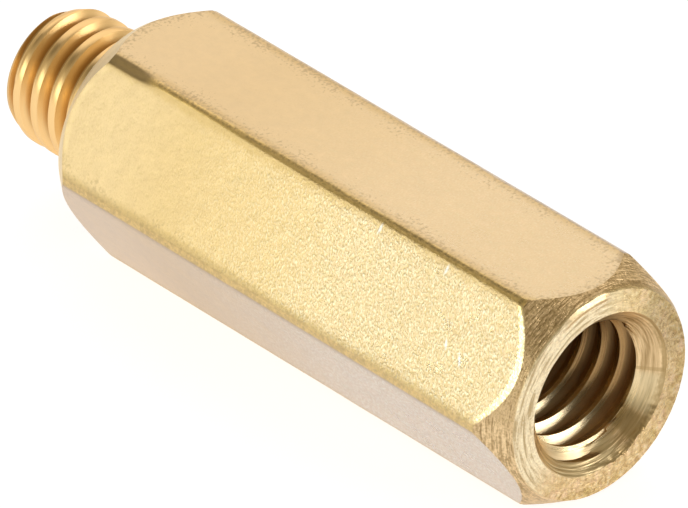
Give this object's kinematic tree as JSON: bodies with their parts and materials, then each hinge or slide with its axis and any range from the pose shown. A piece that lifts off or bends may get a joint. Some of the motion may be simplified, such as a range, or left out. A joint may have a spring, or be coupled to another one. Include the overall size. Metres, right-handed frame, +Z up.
{
  "type": "hex standoff",
  "caption": "Brass hexagonal standoff with a threaded stud at one end and a tapped, countersunk hole at the other, for holding a circuit board off a base.",
  "frame": {"origin": "on the surface that the standoff lies on, below the middle of its bounding box", "axes": "+X along the turning axis towards the tapped end, the stud points to -X; +Z up, normal to the flat opposite the one it lies on"},
  "size_m": [0.0152, 0.0052, 0.0045],
  "materials": {
    "brass": "turned and drawn brass, bright, slightly grainy, with fine scratches and small burrs on the cut edges"
  },
  "bodies": {
    "root": {"standoff": "brass"}
  },
  "joints": []
}
